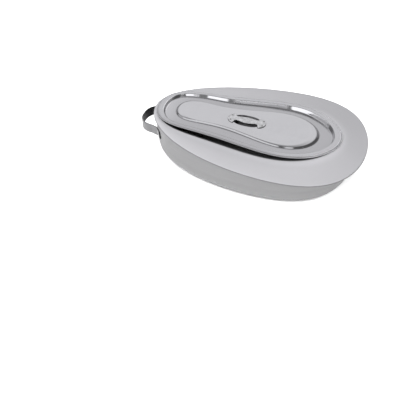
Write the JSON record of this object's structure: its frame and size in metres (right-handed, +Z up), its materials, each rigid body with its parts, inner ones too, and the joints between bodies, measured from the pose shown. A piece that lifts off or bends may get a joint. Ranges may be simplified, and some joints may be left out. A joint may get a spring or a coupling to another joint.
{
  "type": "bedpan",
  "caption": "Adult bedpan in pressed stainless steel: egg-shaped bowl, saddle-shaped seat deck with a wide lip, strap carry handle and a loose pear-shaped lid with a sunk finger grip.",
  "frame": {"origin": "on the base plane, under the middle of the whole object's box", "axes": "+X from the carry handle to the wide tip of the deck, +Y to the left of that, +Z up"},
  "size_m": [0.3798, 0.2588, 0.0834],
  "materials": {
    "shell_steel": "satin-polished stainless steel",
    "deck_steel": "satin-polished stainless steel, finer than the bowl",
    "lid_steel": "satin-polished stainless steel with brighter pressed beads",
    "strap_steel": "satin stainless steel strap",
    "weld_steel": "dressed weld metal, slightly darker"
  },
  "bodies": {
    "pan": {"bowl": "shell_steel", "deck": "deck_steel", "seam_weld": "weld_steel", "carry_handle": "strap_steel", "carry_handle_spot_welds": "weld_steel"},
    "lid": {"lid": "lid_steel", "lid_handle": "strap_steel", "lid_handle_spot_welds": "weld_steel"}
  },
  "joints": [
    {"name": "lid_lift", "type": "slide", "parent": "pan", "child": "lid", "axis": [0, 0, 1], "range_m": [0, 0.12]}
  ]
}
